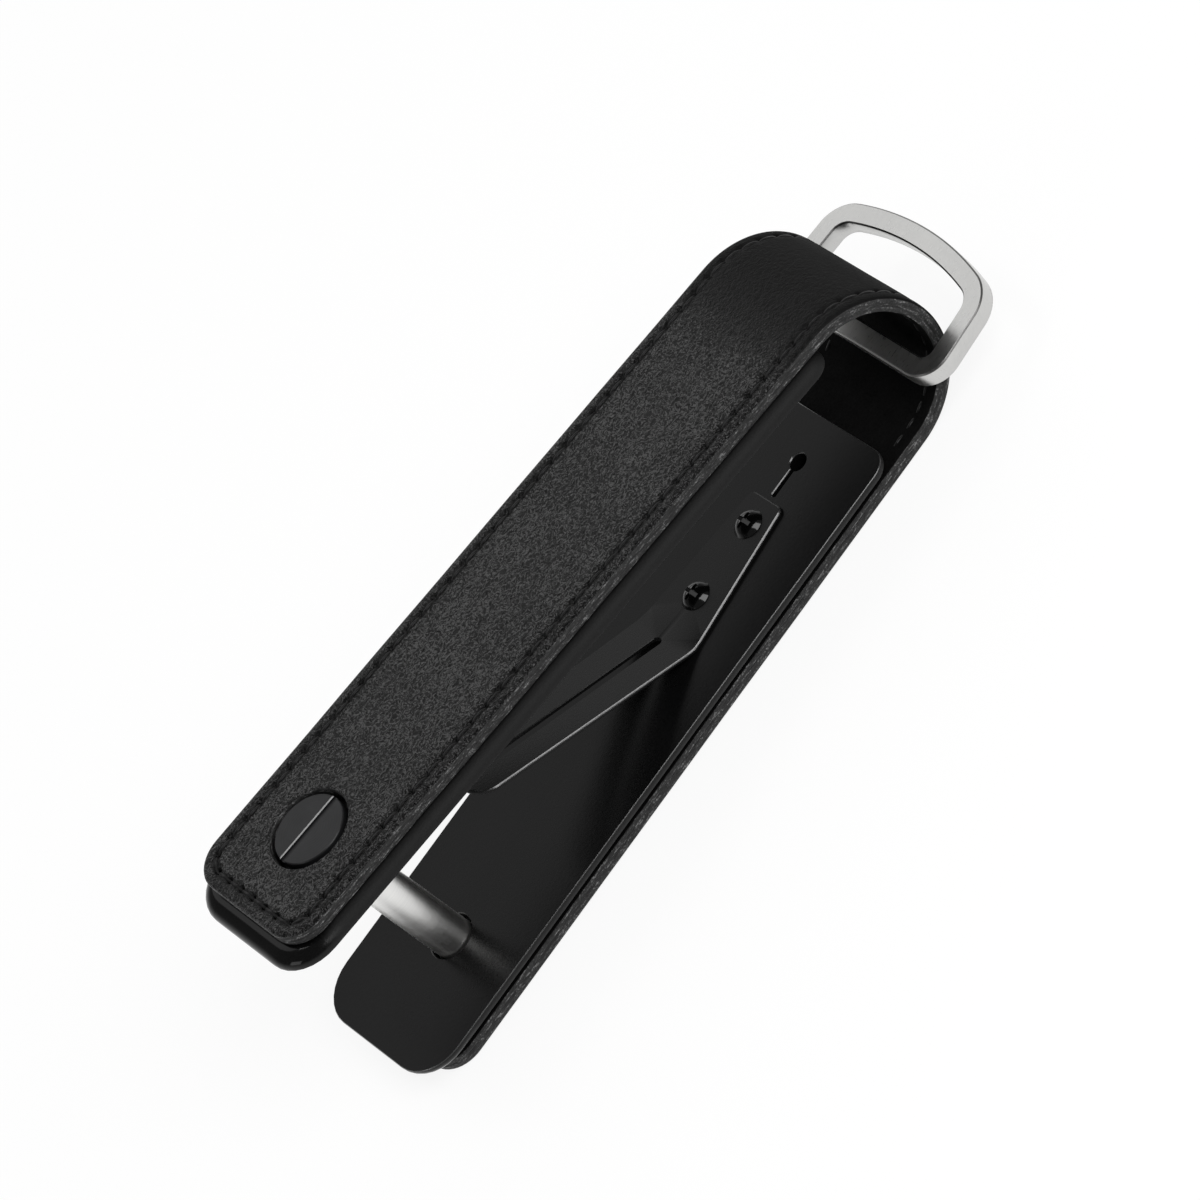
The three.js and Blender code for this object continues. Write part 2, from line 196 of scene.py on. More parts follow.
share = maths(tree, "MULTIPLY", seen, GLOW_SHARE)
both = add_node(tree, "ShaderNodeMixShader", {0: share, 1: paint, 2: shine}).outputs[0]
add_node(tree, "ShaderNodeOutputMaterial", {"Surface": both})
floor_mesh.materials.append(white)
scene.view_settings.view_transform = "Standard"
print("floor:", white.name)

# %% Lamps
AIM = Vector((0, 0, 0.012))


def soft_box(name, place, size, watts):
    lamp = bpy.data.lights.new(name, "AREA")
    lamp.shape = "SQUARE"
    lamp.size = size
    lamp.energy = watts
    box = link_object(name, lamp)
    box.location = place
    box.rotation_mode = "QUATERNION"
    box.rotation_quaternion = (AIM - Vector(place)).to_track_quat("-Z", "Y")


soft_box("front box", (0.22, -0.45, 0.50), 0.45, 3.0)
soft_box("far box", (0.18, 0.54, 0.44), 0.65, 1.0)
soft_box("top box", (-0.05, 0.28, 0.72), 0.16, 0.5)
soft_box("left box", (-0.62, -0.05, 0.30), 0.25, 0.4)

# %% [markdown]
# ## A helper for finishes
# Every finish is a node material: a Principled shader fed by noise, rings or streaks. A small class keeps
# the steps that finishes share: where a pattern lies, noise, weighted sums, ramps of colour, and bumps.


# %% Finish helper
class Finish:
    def __init__(self, name, **sockets):
        self.material = bpy.data.materials.new(name)
        self.tree = empty_tree(self.material)
        self.shader = self.add("ShaderNodeBsdfPrincipled")
        self.add("ShaderNodeOutputMaterial", {"Surface": self.shader.outputs[0]})
        self.set(**sockets)

    def add(self, kind, inputs=None, **settings):
        return add_node(self.tree, kind, inputs, **settings)

    def maths(self, operation, a, b=0.0):
        return maths(self.tree, operation, a, b)

    def place(self, source="Object", scale=(1, 1, 1), turn=(0, 0, 0), shift=(0, 0, 0)):
        where = self.add("ShaderNodeTexCoord").outputs[source]
        inputs = {"Vector": where, "Scale": scale, "Rotation": turn, "Location": shift}
        return self.add("ShaderNodeMapping", inputs).outputs[0]

    def mark(self, name):
        return self.add("ShaderNodeAttribute", attribute_name=name).outputs["Fac"]

    def noise(self, where, scale, detail=2.0, rough=0.5):
        inputs = {"Vector": where, "Scale": scale, "Detail": detail, "Roughness": rough}
        return self.add("ShaderNodeTexNoise", inputs).outputs["Fac"]

    def sum(self, *parts):
        total = 0.0
        for socket, share in parts:
            inputs = {0: socket, 1: share, 2: total}
            total = self.add("ShaderNodeMath", inputs, operation="MULTIPLY_ADD").outputs[0]
        return total

    def span(self, value, low, high, to_low=0.0, to_high=1.0):
        inputs = {"Value": value, "From Min": low, "From Max": high, "To Min": to_low, "To Max": to_high}
        return self.add("ShaderNodeMapRange", inputs).outputs["Result"]

    def ramp(self, value, *stops):
        node = self.add("ShaderNodeValToRGB", {"Fac": value})
        marks = node.color_ramp.elements
        while len(marks) < len(stops):
            marks.new(0.5)
        for mark, (at, colour) in zip(marks, stops):
            mark.position = at
            mark.color = (*colour, 1) if isinstance(colour, tuple) else (colour, colour, colour, 1)
        return node.outputs["Color"]

    def bump(self, height, depth, strength=1.0):
        node = self.add("ShaderNodeBump", {"Height": height, "Distance": depth, "Strength": strength})
        self.set(Normal=node.outputs[0])

    def set(self, **sockets):
        for key, value in sockets.items():
            feed(self.tree, self.shader.inputs[key.replace("_", " ")], value)
        return self.material


# %% [markdown]
# ## Leather finishes
# The hide is black, with a fine grain of low ridges and creases. Noise that is folded at its middle level
# gives the ridges and a finer noise gives wrinkles; a third noise bends both, so that they look grown.
# Where the strap bends, the grain is stretched: flatter, darker and more matte. Outside the stitching it is
# a little calmer. It is drawn on the strap's own flat pattern, so that it follows the leather round the
# fold. The cut edge is fibrous, with pale fibres that run lengthwise, and the lining is a soft split
# leather.


# %% Hide, cut edge, lining and thread
def grained_hide():
    f = Finish("grained hide", Specular_IOR_Level=0.15)
    flat = f.place("UV")
    drift = f.add("ShaderNodeTexNoise", {"Vector": flat, "Scale": 1100.0, "Detail": 2.0}).outputs["Color"]
    bend = {0: drift, 1: (0.001, 0.001, 0), 2: flat}
    warped = f.add("ShaderNodeVectorMath", bend, operation="MULTIPLY_ADD").outputs[0]
    swell = f.noise(warped, 1750.0, 2.0, 0.6)
    ridge = f.span(f.maths("PINGPONG", swell, 0.5), 0.37, 0.5)
    wrinkle = f.noise(warped, 4400.0, 2.0, 0.6)
    grain = f.sum((ridge, 0.55), (wrinkle, 0.8))
    calm, painted_shade = f.mark("calm"), f.mark("painted_shade")
    height = f.sum((swell, 0.6), (wrinkle, 0.3))
    f.bump(f.maths("MULTIPLY", height, f.span(calm, 0.0, 1.0, 1.0, 0.2)), 0.0005)
    patch = f.noise(flat, 130.0, 3.0)
    # Painted shade: the seam's channel and the needle holes are darkened in the colour.
    tone = f.sum((grain, 1.0), (patch, 0.2), (calm, -0.6), (painted_shade, -1.0))
    return f.set(
        Base_Color=f.ramp(tone, (0.6, 0.0003), (0.84, 0.003), (1.0, 0.06)),
        Roughness=f.sum((wrinkle, -0.1), (calm, 0.65), (1.0, 0.22)),
    )


def cut_edge():
    f = Finish("cut leather edge", Specular_IOR_Level=0.4)
    fibre = f.noise(f.place("UV", (1, 5, 1)), 620.0, 4.0, 0.65)
    fuzz = f.noise(f.place("UV"), 4200.0, 2.0)
    rag = f.sum((fibre, 0.75), (fuzz, 0.35))
    f.bump(rag, 0.00024)
    return f.set(
        Base_Color=f.ramp(rag, (0.46, 0.003), (0.6, 0.018), (0.74, 0.26)),
        Roughness=f.span(rag, 0.3, 0.8, 0.65, 0.4),
    )


def split_lining():
    f = Finish("split lining", Specular_IOR_Level=0.05)
    flat = f.place("UV")
    nap = f.sum((f.noise(flat, 2600.0, 4.0, 0.7), 0.7), (f.noise(flat, 500.0, 2.0), 0.3))
    f.bump(nap, 0.0001, 0.8)
    return f.set(
        Base_Color=f.ramp(nap, (0.3, 0.0015), (0.75, 0.006)),
        Roughness=f.span(nap, 0.2, 0.8, 0.9, 0.7),
    )


def waxed_thread():
    f = Finish("waxed thread", Specular_IOR_Level=0.25)
    lay_length = 0.0009
    twist = f.sum((f.mark("lengthwise"), 2 * math.pi / lay_length), (f.mark("roundwise"), 2 * math.pi))
    lay = f.maths("SINE", twist)
    fibre = f.noise(f.place("Object"), 9000.0, 2.0)
    f.bump(f.sum((lay, 0.4), (fibre, 0.3)), 0.00006)
    return f.set(
        # The colour is darker in the twist's grooves and lighter on its crowns: painted shade and painted
        # highlight.
        Base_Color=f.ramp(f.span(lay, -1.0, 1.0), (0.0, 0.0015), (1.0, 0.006)),
        Roughness=f.span(fibre, 0.3, 0.7, 0.55, 0.4),
    )


HIDE, EDGE, LINING, THREAD = grained_hide(), cut_edge(), split_lining(), waxed_thread()
print("leather finishes:", [m.name for m in (HIDE, EDGE, LINING, THREAD)])

# %% [markdown]
# ## Metal finishes
# The plates and the leaf have a satin black coat with a faint orange-peel texture. The plates' sides are
# matte, and polished only round the post end. Broken edges have a lighter coat, partly worn and partly a
# painted highlight, because they catch the light. The small screws are glossy. The post is turned steel
# with fine rings round it, the ring is steel brushed lengthwise with its upper edges darkened as painted
# shade, and the clamp screw has a dark coat with turning marks on its face.


# %% Coats and steels
def satin_coat(name, dark, pale, smooth, dull, peel, shine):
    f = Finish(name, Specular_IOR_Level=shine)
    where = f.place("Object")
    cloud = f.noise(where, 45.0, 3.0)
    skin = f.noise(where, peel, 2.0)
    f.bump(skin, 0.000012, 0.6)
    mix = f.sum((cloud, 0.6), (skin, 0.4))
    return f.set(
        Base_Color=f.ramp(mix, (0.25, (dark, dark, dark)), (0.75, (pale, pale, pale * 1.03))),
        Roughness=f.span(mix, 0.25, 0.75, smooth, dull),
    )


def plate_side(name, post_end):
    """The plate's edge and shoulder: matte along the sides, polished round the post end."""
    f = Finish(name, Specular_IOR_Level=0.22)
    where = f.place("Object")
    along = f.add("ShaderNodeSeparateXYZ", {0: where}).outputs["X"]
    skin = f.noise(where, 5200.0, 3.0, 0.6)
    matte = f.span(along, post_end, post_end + 0.004)
    f.bump(f.maths("MULTIPLY", skin, matte), 0.00004)
    return f.set(
        Base_Color=f.ramp(f.sum((skin, 0.7), (matte, 0.3)), (0.3, 0.002), (0.8, 0.009)),
        Roughness=f.sum((matte, 0.5), (skin, 0.1), (1.0, 0.06)),
    )


def brushed_steel(name, streak, smooth, dull, colour):
    f = Finish(name, Metallic=1.0)
    line = f.noise(f.place("Object", streak), 1.0, 3.0, 0.6)
    stain = f.noise(f.place("Object"), 160.0, 2.0)
    f.bump(line, 0.000008, 0.7)
    low, high = colour * 0.86, colour
    dark = (low, low, low * 0.985)
    pale = (high, high * 0.995, high * 0.975)
    return f.set(
        Base_Color=f.ramp(f.sum((line, 0.7), (stain, 0.3)), (0.25, dark), (0.7, pale)),
        Roughness=f.span(line, 0.3, 0.7, smooth, dull),
    )


def turned_coat(name, centre):
    f = Finish(name, Specular_IOR_Level=0.3, Metallic=0.2)
    shift = Matrix.Rotation(-SPREAD, 3, "Y") @ -centre
    where = f.place("Object", turn=(0, -SPREAD, 0), shift=tuple(shift))
    inputs = {"Vector": where, "Scale": 900.0, "Distortion": 1.5, "Detail": 2.0}
    rings = f.add("ShaderNodeTexWave", inputs, wave_type="RINGS", rings_direction="Z").outputs["Fac"]
    cloud = f.noise(f.place("Object"), 500.0, 3.0)
    f.bump(f.sum((rings, 0.6), (cloud, 0.4)), 0.000006, 0.6)
    return f.set(
        Base_Color=f.ramp(cloud, (0.25, (0.009, 0.0092, 0.0098)), (0.75, (0.016, 0.0163, 0.0174))),
        Roughness=f.span(f.sum((rings, 0.4), (cloud, 0.6)), 0.2, 0.8, 0.3, 0.42),
    )


POLISHED_END = -84
ROUND_POST = (60, 60, 14000)
LENGTHWISE = (900, 12000, 900)
PLATE_COAT = satin_coat("plate coat", 0.002, 0.005, 0.24, 0.32, 2600.0, 0.15)
PLATE_SIDE = plate_side("plate side", on_lower_arm(POLISHED_END, 0, 0).x)
LEAF_COAT = satin_coat("leaf coat", 0.005, 0.009, 0.24, 0.32, 3200.0, 0.16)
SCREW_COAT = satin_coat("small screw coat", 0.002, 0.003, 0.08, 0.13, 4000.0, 0.4)
HEAD_COAT = turned_coat("clamp head coat", on_upper_arm(SCREW_X, 0, HIDE_BACK))
# Lighter coat for broken edges: partly worn coat, partly painted highlight.
EDGE_WEAR_AND_HIGHLIGHT = satin_coat("edge wear and painted highlight", 0.02, 0.03, 0.2, 0.3, 3200.0, 1.0)
POST_STEEL = brushed_steel("turned post steel", ROUND_POST, smooth=0.28, dull=0.4, colour=0.92)
RING_STEEL = brushed_steel("brushed ring steel", LENGTHWISE, smooth=0.26, dull=0.4, colour=0.64)
# Darker steel for the ring's upper chamfers: painted shade.
RING_SHADED_EDGE = brushed_steel("ring edge with painted shade", LENGTHWISE, smooth=0.3, dull=0.45, colour=0.16)
coats = (PLATE_COAT, PLATE_SIDE, LEAF_COAT, SCREW_COAT, HEAD_COAT, EDGE_WEAR_AND_HIGHLIGHT)
print("metal finishes:", [m.name for m in (*coats, POST_STEEL, RING_STEEL, RING_SHADED_EDGE)])

# %% [markdown]
# ## A helper for cut and pressed sheets
# Strap, plates, leaf and ring are all the same kind of thing: an outline cut from sheet, with holes, and an
# edge of its own shape. So one helper makes them. It walks the outline once for each step of the edge's
# profile, joins the walks with faces, and fills the two flat faces with a Delaunay triangulation. A place
# function then puts each point of the flat pattern where it belongs, which may be round a bend.


# %% Outlines
def rounded_loop(corners, step):
    """Points counter-clockwise round a closed outline through (x, y, radius) corners."""
    at = [Vector(c[:2]) for c in corners]
    points = []
    for i, corner in enumerate(at):
        before, after = at[i - 1], at[(i + 1) % len(at)]
        arrive, leave = (corner - before).normalized(), (after - corner).normalized()
        turn = math.atan2(arrive.cross(leave), arrive.dot(leave))
        radius = corners[i][2]
        trim = radius * math.tan(abs(turn) / 2)
        side = Vector((-arrive.y, arrive.x)) * math.copysign(radius, turn)
        centre = corner - arrive * trim + side
        count = max(2, math.ceil(abs(turn) * radius / min(step, radius * 0.2)))
        for k in range(count + 1):
            points.append(centre + Matrix.Rotation(turn * k / count, 2) @ -side)
        nxt = corners[(i + 1) % len(at)]
        nxt_leave = (at[(i + 2) % len(at)] - after).normalized()
        nxt_turn = math.atan2(leave.cross(nxt_leave), leave.dot(nxt_leave))
        end = after - leave * nxt[2] * math.tan(abs(nxt_turn) / 2)
        start = points[-1]
        parts = max(1, math.ceil((end - start).length / step))
        points += [start.lerp(end, k / parts) for k in range(1, parts)]
    return np.array(points, float)


def bar(x0, x1, half, r0, r1):
    """The corners of a straight bar from x0 to x1, with a corner radius for each end."""
    return [(x0, -half, r0), (x1, -half, r1), (x1, half, r1), (x0, half, r0)]


def round_hole(x, y, radius, count):
    turn = -np.arange(count) * 2 * math.pi / count
    return np.stack((x + radius * np.cos(turn), y + radius * np.sin(turn)), 1)


# %% Sheets
def into_stock(loop):
    """Unit directions from each point of a loop into the material, which lies on the loop's left."""
    ahead = np.roll(loop, -1, 0) - loop
    ahead /= np.linalg.norm(ahead, axis=1)[:, None]
    along = ahead + np.roll(ahead, 1, 0)
    along /= np.linalg.norm(along, axis=1)[:, None]
    return np.stack((-along[:, 1], along[:, 0]), 1)


def crossings(points, loop):
    """How often a line from each point towards larger x crosses a loop."""
    x, y = points[:, :1], points[:, 1:]
    x0, y0 = loop.T
    x1, y1 = np.roll(loop, -1, 0).T
    rise = np.where(y1 == y0, 1e-12, y1 - y0)
    return (((y0 > y) != (y1 > y)) & (x < x0 + (y - y0) * (x1 - x0) / rise)).sum(1)


def filled(rims, fill):
    """Triangles between an outline, its holes and some points in between."""
    points = np.concatenate([*rims, fill]) if len(fill) else np.concatenate(rims)
    edges, first = [], 0
    for rim in rims:
        n = len(rim)
        edges += [(first + i, first + (i + 1) % n) for i in range(n)]
        first += n
    faces, origin = delaunay_2d_cdt([Vector(p) for p in points], edges, [], 0, 1e-7, True)[2:4]
    faces = np.array([[origin[i][0] for i in face] for face in faces])
    on_rims = np.nonzero((faces < first).all(1))[0]
    middle = points[faces[on_rims]].mean(1)
    outside = sum(crossings(middle, rim) for rim in rims) % 2 == 0
    return np.delete(faces, on_rims[outside], 0)


def shade(mesh, sharp):
    """Shades a mesh smoothly, but for edges that turn by more than an angle in degrees."""
    mesh.polygons.foreach_set("use_smooth", [True] * len(mesh.polygons))
    mesh.set_sharp_from_angle(angle=math.radians(sharp))


def mesh_piece(name, verts, faces, finishes, indices=None, uvs=None, sharp=35, crisp=()):
    mesh = bpy.data.meshes.new(name)
    mesh.from_pydata(verts, [], faces)
    for finish in finishes:
        mesh.materials.append(finish)
    if indices is not None:
        mesh.polygons.foreach_set("material_index", indices)
    if uvs is not None:
        mesh.uv_layers.new(name="flat").data.foreach_set("uv", np.asarray(uvs, np.float32).ravel())
    shade(mesh, sharp)
    for edge in mesh.edges:
        edge.use_edge_sharp |= edge.key in crisp
    return link_object(name, mesh)


def triangles(piece):
    return sum(len(p.vertices) - 2 for p in piece.data.polygons)


def sheet(name, edges, place, finishes, caps=(0, 0), fill=(), pressed=None, sharp=35):
    """A closed sheet. edges holds (loop, profile) pairs, the outline first; a profile runs from the upper
    face's rim to the lower face's rim as (inset, level, finish) steps."""
    verts, flat, faces, uvs, indices = [], [], [], [], []
    upper, lower = [], []
    for loop, profile in edges:
        n, first = len(loop), len(verts)
        lean = into_stock(loop)
        run = np.concatenate(([0], np.cumsum(np.linalg.norm(np.roll(loop, -1, 0) - loop, axis=1)))) * MM
        walks = [loop + lean * inset for inset, _, _ in profile]
        for walk, (_, level, _) in zip(walks, profile):
            verts += [place(u, v, level) for u, v in walk]
            flat += [tuple(p) for p in walk]
        for k, (inset, level, finish) in enumerate(profile[:-1]):
            a, top, foot = first + k * n, level * MM, profile[k + 1][1] * MM
            level_band = abs(profile[k + 1][0] - inset) > abs(profile[k + 1][1] - level)
            for i in range(n):
                j = (i + 1) % n
                quad = (a + i, a + n + i, a + n + j, a + j)
                faces.append(quad)
                if level_band:
                    uvs += [(flat[q][0] * MM, flat[q][1] * MM) for q in quad]
                else:
                    uvs += [(run[i], top), (run[i], foot), (run[i + 1], foot), (run[i + 1], top)]
                indices.append(finish)
        upper.append((walks[0], np.arange(first, first + n), profile[0][1]))
        lower.append((walks[-1], np.arange(first, first + n) + (len(profile) - 1) * n, profile[-1][1]))
    for rims, flipped, points, finish in ((upper, False, fill, caps[0]), (lower, True, (), caps[1])):
        ids = np.concatenate([rim[1] for rim in rims])
        if len(points):
            ids = np.concatenate((ids, np.arange(len(verts), len(verts) + len(points))))
            verts += [place(u, v, rims[0][2] + pressed(u, v)) for u, v in points]
            flat += [tuple(p) for p in points]
        for face in filled([rim[0] for rim in rims], points):
            face = [int(ids[i]) for i in (face[::-1] if flipped else face)]
            faces.append(face)
            uvs += [(flat[i][0] * MM, flat[i][1] * MM) for i in face]
            indices.append(finish)
    rims = [ids for _, ids, _ in lower + (upper if not len(fill) else [])]
    crisp = {tuple(sorted((int(i), int(j)))) for ids in rims for i, j in zip(ids, np.roll(ids, 1))}
    return mesh_piece(name, verts, faces, finishes, indices, uvs, sharp, crisp), np.array(flat)


# %% [markdown]
# ## The strap
# Hide and lining are glued, sewn round the border and bent as one, so one closed sheet stands for both. It
# is drawn flat, measured along the hide's outer face, and its place function bends it: lower arm, not quite
# half a turn round the fold axis, upper arm. The stitching pulls the hide down into a shallow channel, and
# each needle hole is a dimple.

# %% Flat pattern of the strap
ARM = 87.0
HALF_WIDTH = 10.9
CORNER = 4.4
BEND = HIDE_BACK * (math.pi - SPREAD)
LENGTH = 2 * ARM + BEND
HOLE = 5.05
HOLES = (ARM + POST_X, ARM + BEND - SCREW_X)
WAVER = 0.05


def bent(s, v, height):
    """Puts a point of the flat strap on the lower arm, round the fold or on the upper arm."""
    height += WAVER * noise.noise(Vector((s / 14, v / 9, 3.1)))
    if s <= ARM:
        return on_lower_arm(s - ARM, -v, height)
    if s >= ARM + BEND:
        return on_upper_arm(ARM + BEND - s, -v, height)
    angle = -math.pi / 2 + (s - ARM) / HIDE_BACK
    return Vector((FOLD.x + height * math.cos(angle), -v, FOLD.z + height * math.sin(angle))) * MM


def strap_outline(inset, step):
    radius = CORNER - inset
    return rounded_loop(bar(inset, LENGTH - inset, HALF_WIDTH - inset, radius, radius), step)


def from_edge(s, v):
    """How far a point of the flat strap lies inside its outline."""
    a = abs(s - LENGTH / 2) - (LENGTH / 2 - CORNER)
    b = abs(v) - (HALF_WIDTH - CORNER)
    return CORNER - math.hypot(max(a, 0), max(b, 0)) - min(max(a, b), 0)


print("flat strap, mm:", round(LENGTH, 1), "x", 2 * HALF_WIDTH)

# %% Stitch places
STITCH_INSET = 1.8
STITCH_PITCH = 2.45
seam = strap_outline(STITCH_INSET, 0.2)
seam_steps = np.linalg.norm(np.roll(seam, -1, 0) - seam, axis=1)
seam_run = np.concatenate(([0], np.cumsum(seam_steps)))
stitch_count = round(seam_run[-1] / STITCH_PITCH)
pitch = seam_run[-1] / stitch_count


def on_seam(run):
    closed = np.concatenate((seam, seam[:1]))
    return np.array([np.interp(np.mod(run, seam_run[-1]), seam_run, closed[:, k]) for k in (0, 1)]).T


stitches = on_seam(np.arange(stitch_count) * pitch)
needle_holes = on_seam((np.arange(stitch_count) + 0.5) * pitch)
print("stitches:", stitch_count, "pitch, mm:", round(pitch, 3))


# %% Strap edges
def channel(d):
    """The hide's level at a distance from its edge: rolled down outside the stitching, drawn in along it."""
    roll = min(max((STITCH_INSET - d) / STITCH_INSET, 0), 1)
    return -0.10 * roll * roll - 0.11 * math.exp(-(((d - STITCH_INSET) / 0.42) ** 2))


rolled = ((1.1, 0), (0.7, 0), (0.36, 0), (0.2, 0.03), (0.08, 0.1))
strap_edge = [(d, HIDE_BACK + channel(d) - drop, 0) for d, drop in rolled]
strap_edge += [
    (0.02, HIDE_BACK - 0.3, 1),
    (0, HIDE_BACK - 0.42, 1),
    (0.03, HIDE_FACE + 0.35, 1),
    (0, HIDE_FACE + 0.1, 1),
    (0.1, HIDE_FACE - 0.04, 1),
    (0.12, LINING_BACK + 0.11, 1),
    (0.03, LINING_BACK, 1),
    (0, LINING_BACK - 0.15, 1),
    (0.04, LINING_FACE + 0.21, 1),
    (0.14, LINING_FACE + 0.07, 2),
    (0.4, LINING_FACE, 2),
    (1.0, LINING_FACE, 2),
]
hole_edge = [
    (0.45, HIDE_BACK, 0),
    (0.12, HIDE_BACK - 0.04, 1),
    (0, HIDE_BACK - 0.2, 1),
    (0, LINING_FACE + 0.1, 1),
    (0.12, LINING_FACE, 2),
]
print("steps of the strap's edge:", len(strap_edge), "and of its holes:", len(hole_edge))

# %% Points on the hide
GRID, ROW_SHARE = 0.55, 0.866
RIM_CLEAR, HOLE_CLEAR = 1.35, 0.75
DIMPLE_FLOOR = 0.5
DIMPLE_RINGS = ((0.2, 0.36), (0.36, 0.12), (0.56, 0.0))
filling = []
for row in range(int(2 * HALF_WIDTH / GRID / ROW_SHARE)):
    for column in range(int(LENGTH / GRID)):
        filling.append(((column + 0.5 * (row % 2)) * GRID, -HALF_WIDTH + row * GRID * ROW_SHARE))
filling = np.array(filling)
gap = np.array([from_edge(s, v) for s, v in filling])
keep = gap > RIM_CLEAR
for x in HOLES:
    keep &= np.hypot(filling[:, 0] - x, filling[:, 1]) > HOLE + HOLE_CLEAR
near_seam = np.abs(gap - STITCH_INSET) < HOLE_CLEAR
dimples = []
for x, y in needle_holes:
    keep &= ~(near_seam & (np.hypot(filling[:, 0] - x, filling[:, 1] - y) < HOLE_CLEAR))
    dimples.append((x, y, DIMPLE_FLOOR))
    for step, (radius, depth) in enumerate(DIMPLE_RINGS):
        for k in range(8):
            turn = (k + 0.5 * step) * math.pi / 4
            dimples.append((x + radius * math.cos(turn), y + radius * math.sin(turn), depth))
filling = np.concatenate((filling[keep], np.array(dimples)[:, :2]))
depth_at = {(round(x, 6), round(y, 6)): depth for x, y, depth in dimples}
print("points on the hide:", len(filling))

# %% Strap mesh
CALM_MIDDLE, CALM_REACH = BEND * 0.55, 18
BORDER_CALM = 0.1
DARK_DEPTH = 0.36
SEAM_SHADE, SEAM_SPREAD = 0.4, 0.3


def dimple_depth(s, v):
    return depth_at.get((round(s, 6), round(v, 6)), 0.0)


def pressed_hide(s, v):
    return channel(from_edge(s, v)) - dimple_depth(s, v)


def calm_at(s, v):
    """How much the grain is stretched: fully round the fold, a little outside the stitching."""
    round_fold = min(1, max(0, 1.3 - abs(s - ARM - CALM_MIDDLE) / CALM_REACH))
    return max(round_fold, BORDER_CALM * (from_edge(s, v) < STITCH_INSET))


def painted_shade_at(s, v):
    """How much painted shade darkens the hide: along the seam's channel and in its needle holes."""
    shadow = SEAM_SHADE * math.exp(-(((from_edge(s, v) - STITCH_INSET) / SEAM_SPREAD) ** 2))
    return min(1.0, dimple_depth(s, v) / DARK_DEPTH + shadow)


strap_loops = [(strap_outline(0, 0.6), strap_edge)]
strap_loops += [(round_hole(x, 0, HOLE, 72), hole_edge) for x in HOLES]
strap, strap_flat = sheet("strap", strap_loops, bent, [HIDE, EDGE, LINING], (0, 2), filling, pressed_hide, 60)
# The second mark holds painted shade, along the seam and in the needle holes.
for mark, value_at in (("calm", calm_at), ("painted_shade", painted_shade_at)):
    values = np.array([value_at(s, v) for s, v in strap_flat], np.float32)
    strap.data.attributes.new(mark, "FLOAT", "POINT").data.foreach_set("value", values)
LAYERS = ("outer_leather", "lining")
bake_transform(strap)
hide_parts(*[f"{part}_{layer}" for part in ("lower", "fold", "upper") for layer in LAYERS])
print("strap triangles:", triangles(strap))

# %% [markdown]
# ## The sewn border
# One black thread runs round the strap's border. Each stitch is a short length of twisted thread that dives
# into a needle hole at both ends. Stitches repeat along a path, so a Geometry Nodes tree makes one stitch
# as a swept curve and sets it on every stitch place, turned by the directions stored on the points. Inside,
# stitches are made only round the fold, where the lining is bare.


# %% Stitch tree
def open_tree(name, **kinds):
    """A Geometry Nodes tree that takes geometry and some named inputs, and gives geometry."""
    tree = bpy.data.node_groups.new(name, "GeometryNodeTree")
    sockets = tree.interface
    sockets.new_socket("Geometry", in_out="INPUT", socket_type="NodeSocketGeometry")
    for label, kind in kinds.items():
        sockets.new_socket(label, in_out="INPUT", socket_type=f"NodeSocket{kind}")
    sockets.new_socket("Geometry", in_out="OUTPUT", socket_type="NodeSocketGeometry")
    return tree


def stitch_tree():
    tree = open_tree(
        "Sewn border", Length="Float", Thickness="Float", Crown="Float", Dive="Float", Thread="Material"
    )

    def add(kind, inputs=None, **settings):
        return add_node(tree, kind, inputs, **settings).outputs

    def store(geometry, name, value):
        inputs = {"Geometry": geometry, "Name": name, "Value": value}
        return add("GeometryNodeStoreNamedAttribute", inputs, data_type="FLOAT", domain="POINT")[0]

    def stored(name):
        return add("GeometryNodeInputNamedAttribute", {"Name": name}, data_type="FLOAT_VECTOR")[0]

    given = add("NodeGroupInput")
    half = maths(tree, "MULTIPLY", given["Length"], 0.5)
    start = add("ShaderNodeCombineXYZ", {0: maths(tree, "MULTIPLY", half, -1.0)})[0]
    end = add("ShaderNodeCombineXYZ", {0: half})[0]
    line = add("GeometryNodeCurvePrimitiveLine", {"Start": start, "End": end})[0]
    points = add("GeometryNodeResampleCurve", {"Curve": line, "Count": 9})[0]
    along = add("GeometryNodeSplineParameter")
    arch = maths(tree, "SINE", maths(tree, "MULTIPLY", along["Factor"], math.pi))
    crown = maths(tree, "MULTIPLY", maths(tree, "POWER", arch, 0.6), given["Crown"])
    lift = maths(tree, "SUBTRACT", crown, given["Dive"])
    offset = add("ShaderNodeCombineXYZ", {2: lift})[0]
    arched = add("GeometryNodeSetPosition", {"Geometry": points, "Offset": offset})[0]
    path = store(arched, "lengthwise", along["Length"])
    radius = maths(tree, "MULTIPLY", given["Thickness"], 0.5)
    circle = add("GeometryNodeCurvePrimitiveCircle", {"Resolution": 6, "Radius": radius})[0]
    section = store(circle, "roundwise", along["Factor"])
    stitch = add("GeometryNodeCurveToMesh", {"Curve": path, "Profile Curve": section, "Fill Caps": True})[0]
    axes = {0: stored("along"), 1: stored("up")}
    turn = add("FunctionNodeAxesToRotation", axes, primary_axis="X", secondary_axis="Z")[0]
    copies = {"Points": given["Geometry"], "Instance": stitch, "Rotation": turn}
    placed = add("GeometryNodeInstanceOnPoints", copies)[0]
    real = add("GeometryNodeRealizeInstances", {"Geometry": placed})[0]
    smooth = add("GeometryNodeSetShadeSmooth", {"Geometry": real})[0]
    coated = add("GeometryNodeSetMaterial", {"Geometry": smooth, "Material": given["Thread"]})[0]
    add("NodeGroupOutput", {0: coated})
    return tree


